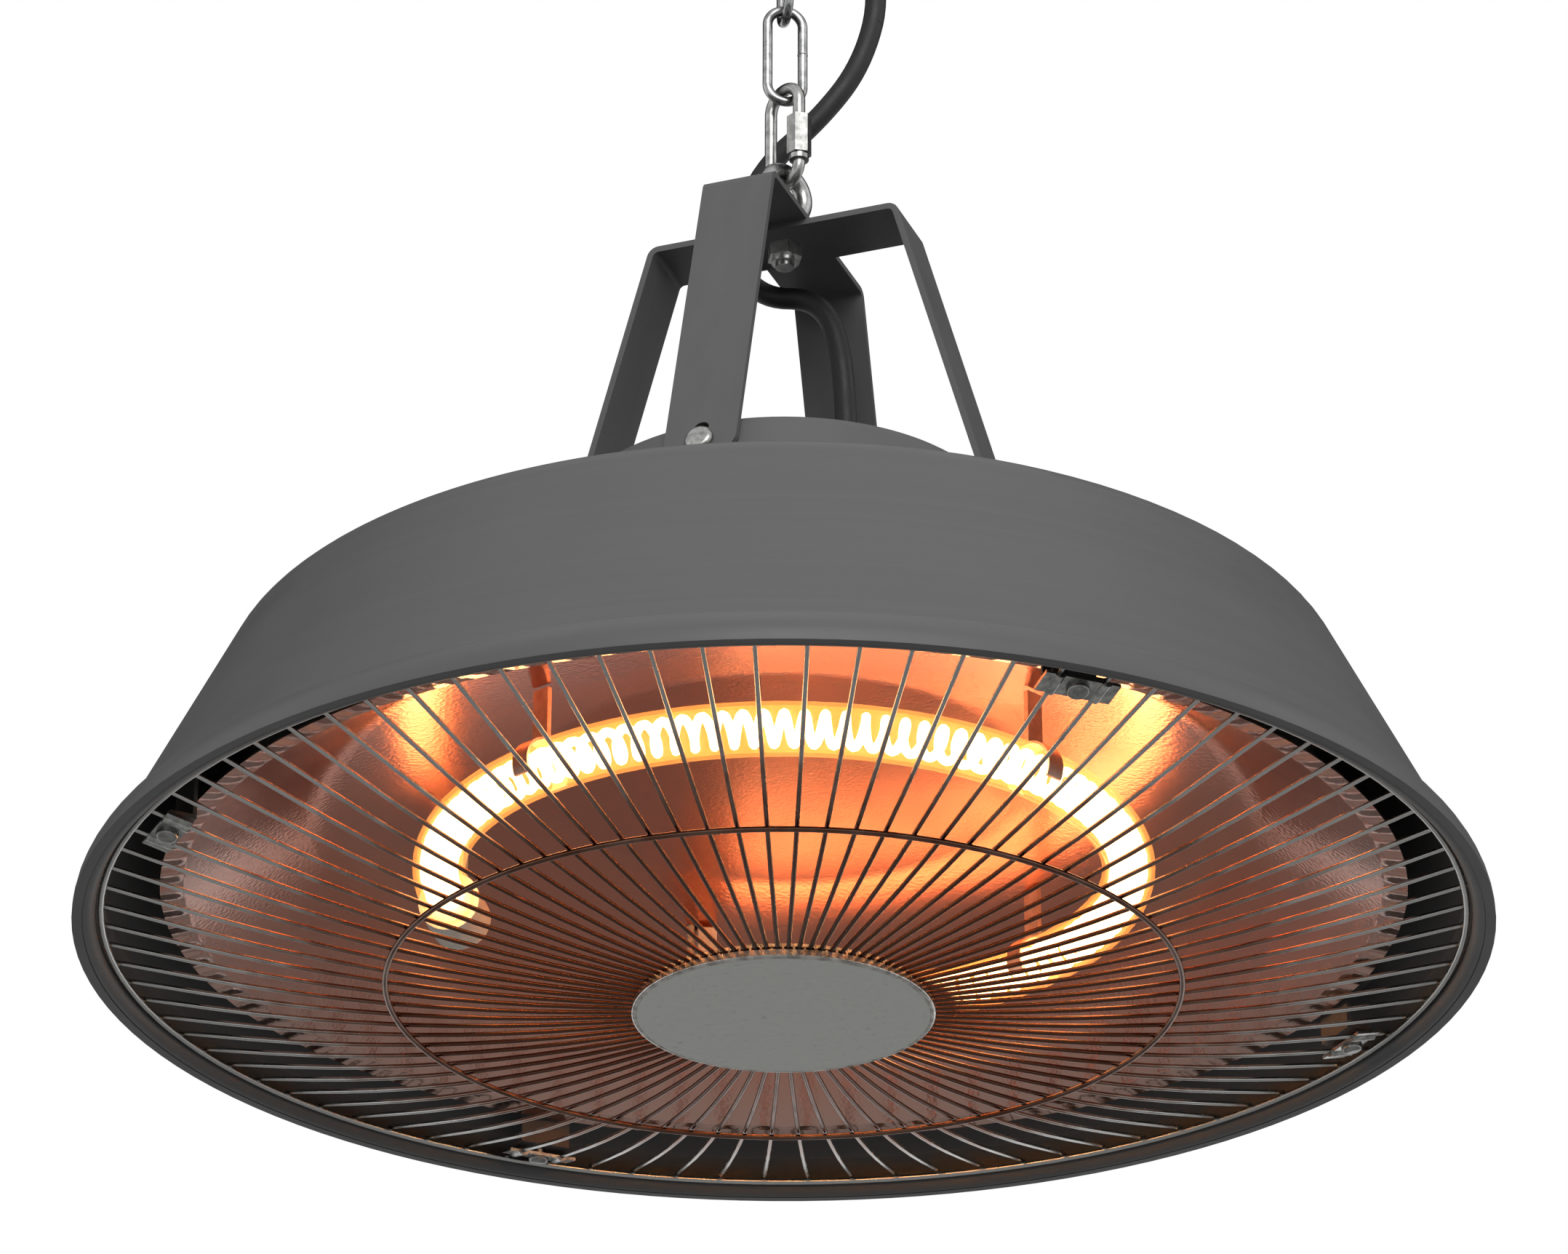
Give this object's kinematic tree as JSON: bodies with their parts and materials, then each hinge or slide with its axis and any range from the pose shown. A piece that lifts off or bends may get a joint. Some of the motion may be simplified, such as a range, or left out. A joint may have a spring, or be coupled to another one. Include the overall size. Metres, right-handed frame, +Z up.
{
  "type": "hanging patio heater",
  "caption": "Hanging electric patio heater: conical metal shade with a ring lamp under a reflector, wire guard, crossed bracket straps, quick link, chain and supply lead.",
  "frame": {"origin": "inside top of the uppermost chain link, where a hook carries the heater", "axes": "+Z up along the chain; +X along the lower bracket strap, +Y along the upper one"},
  "size_m": [0.425, 0.425, 0.5117],
  "materials": {
    "satin_paint": "satin anthracite paint",
    "zinc_steel": "bright zinc plate",
    "bright_wire": "bright plated wire",
    "hub_paint": "satin grey paint",
    "reflector_sheet": "polished, embossed",
    "quartz": "clear quartz",
    "hot_wire": "glowing resistance wire",
    "white_ceramic": "unglazed",
    "wire_sleeve": "woven sleeve over the lamp's wires",
    "black_rubber": "matte black",
    "black_plastic": "moulded black",
    "black_fabric": "hook and loop tape",
    "pin_metal": "plated brass"
  },
  "bodies": {
    "hanger": {"chain_link_3": "zinc_steel", "chain_link_4": "zinc_steel", "chain_link_5": "zinc_steel", "chain_link_6": "zinc_steel", "lead_coil": "black_rubber", "coil_tie_low": "black_fabric", "coil_tie_high": "black_fabric", "plug_body": "black_plastic", "plug_pins": "pin_metal"},
    "link_two": {"chain_link_2": "zinc_steel"},
    "link_one": {"chain_link_1": "zinc_steel"},
    "shackle": {"quick_link": "zinc_steel"},
    "sleeve": {"link_sleeve": "zinc_steel"},
    "head": {"shade": "satin_paint", "cap_drum": "satin_paint", "cap_screws": "zinc_steel", "bracket_a": "satin_paint", "bracket_b": "satin_paint", "bracket_screws": "zinc_steel", "eye_bolt": "zinc_steel", "eye_washer": "zinc_steel", "lock_nut": "zinc_steel", "reflector": "reflector_sheet", "reflector_posts": "zinc_steel", "lamp_tube": "quartz", "filament": "hot_wire", "lamp_caps": "white_ceramic", "lamp_clips": "zinc_steel", "lamp_leads": "wire_sleeve", "terminal_block": "black_plastic", "guard_rim_ring": "bright_wire", "guard_mid_ring": "bright_wire", "guard_wires": "bright_wire", "hub_disc": "hub_paint", "hub_ring": "bright_wire", "hub_plate": "hub_paint", "guard_clips": "zinc_steel", "guard_screws": "zinc_steel", "guard_tabs": "zinc_steel", "cable_gland": "black_plastic", "gland_nut": "black_plastic", "lead_inner": "black_rubber", "lead_stretch": "black_rubber"}
  },
  "joints": [
    {"name": "link_two_swing", "type": "hinge", "parent": "hanger", "child": "link_two", "pos_m": [0, 0, -0.1247], "axis": [0.8415, 0.5402, 0], "range_deg": [-30, 30], "deforming": ["lead_stretch"]},
    {"name": "link_one_swing", "type": "hinge", "parent": "link_two", "child": "link_one", "pos_m": [0, 0, -0.1554], "axis": [-0.5402, 0.8415, 0], "range_deg": [-30, 30], "deforming": ["lead_stretch"]},
    {"name": "shackle_swing", "type": "hinge", "parent": "link_one", "child": "shackle", "pos_m": [0, 0, -0.1861], "axis": [0.673, 0.7396, 0], "range_deg": [-30, 30], "deforming": ["lead_stretch"]},
    {"name": "head_swing", "type": "hinge", "parent": "shackle", "child": "head", "pos_m": [0, 0, -0.2179], "axis": [0.8886, -0.4587, 0], "range_deg": [-30, 30], "deforming": ["lead_stretch"]},
    {"name": "sleeve_slide", "type": "slide", "parent": "shackle", "child": "sleeve", "axis": [0, 0, 1], "range_m": [0, 0.006]}
  ]
}
